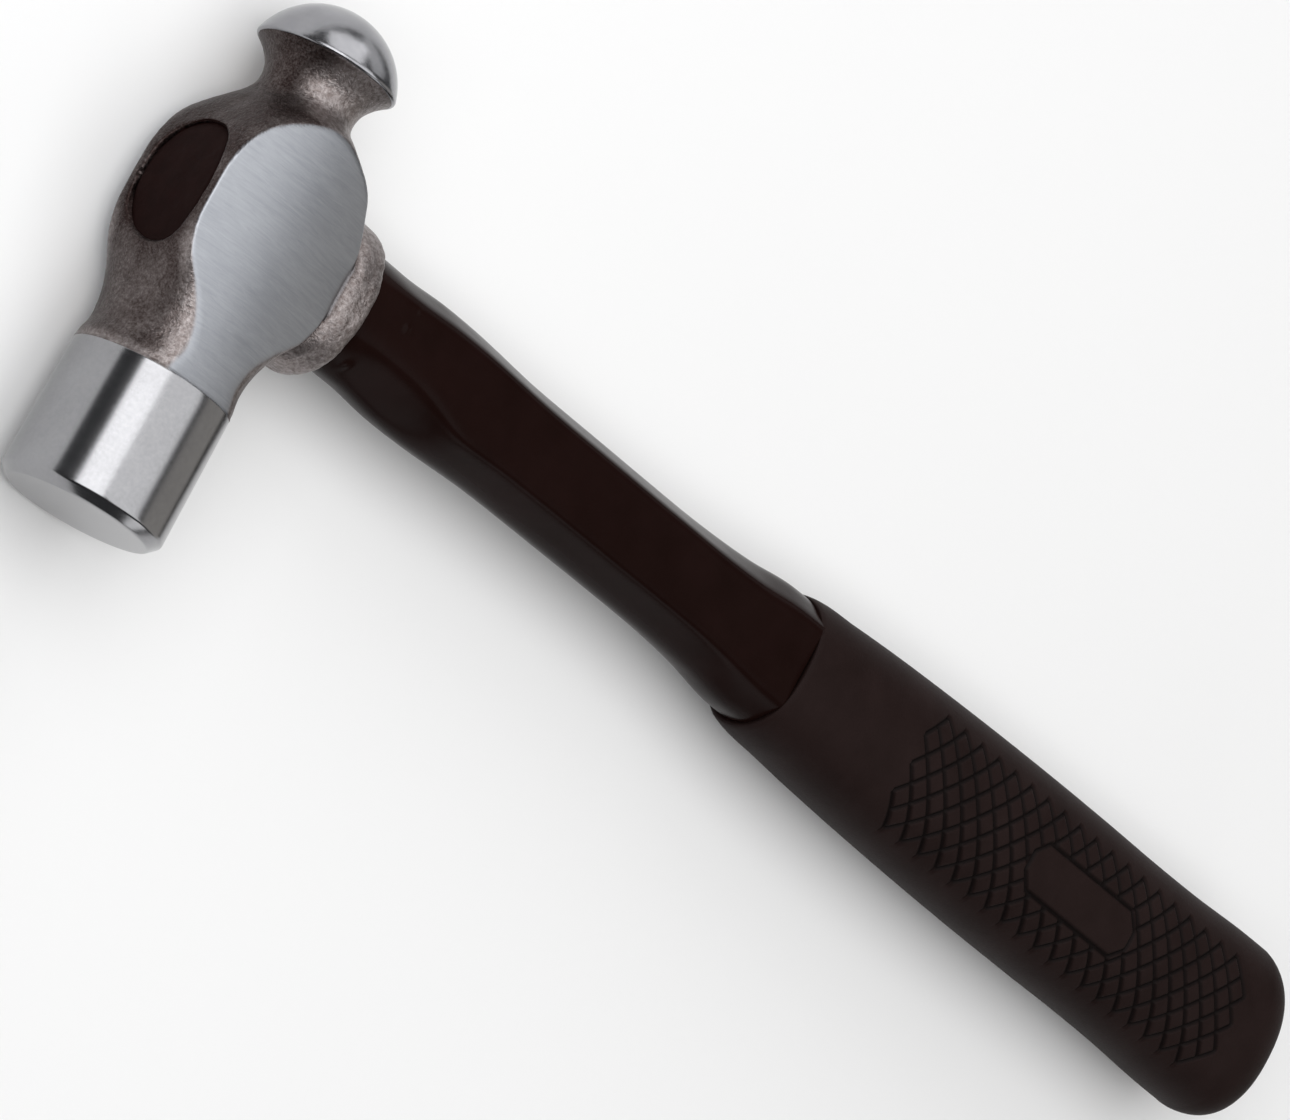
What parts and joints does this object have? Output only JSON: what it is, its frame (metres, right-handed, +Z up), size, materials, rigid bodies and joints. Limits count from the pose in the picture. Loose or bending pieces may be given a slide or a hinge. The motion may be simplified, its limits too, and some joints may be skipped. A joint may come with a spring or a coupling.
{
  "type": "ball peen hammer",
  "caption": "Ball peen hammer with a forged steel head, a flat-sided jacketed fibreglass handle and a rubber grip with a diamond-cut panel.",
  "frame": {"origin": "centre of the bounding box's footprint, at the lowest point of the poll, on which the hammer lies", "axes": "+X runs along the handle from the head to the butt, +Y runs along the head from the striking face to the peen, +Z is up"},
  "size_m": [0.2868, 0.084, 0.0261],
  "materials": {
    "head_steel": "turned poll and peen, ground cheeks, shot-blasted forging elsewhere",
    "epoxy": "poured, dull",
    "seal_rubber": "matte",
    "fibreglass": "drawn rod",
    "jacket_plastic": "glossy moulding",
    "grip_rubber": "matte with a diamond-cut panel"
  },
  "bodies": {
    "root": {"head": "head_steel", "eye_epoxy": "epoxy", "eye_seal": "seal_rubber", "handle_core": "fibreglass", "handle_jacket": "jacket_plastic", "grip": "grip_rubber"}
  },
  "joints": []
}
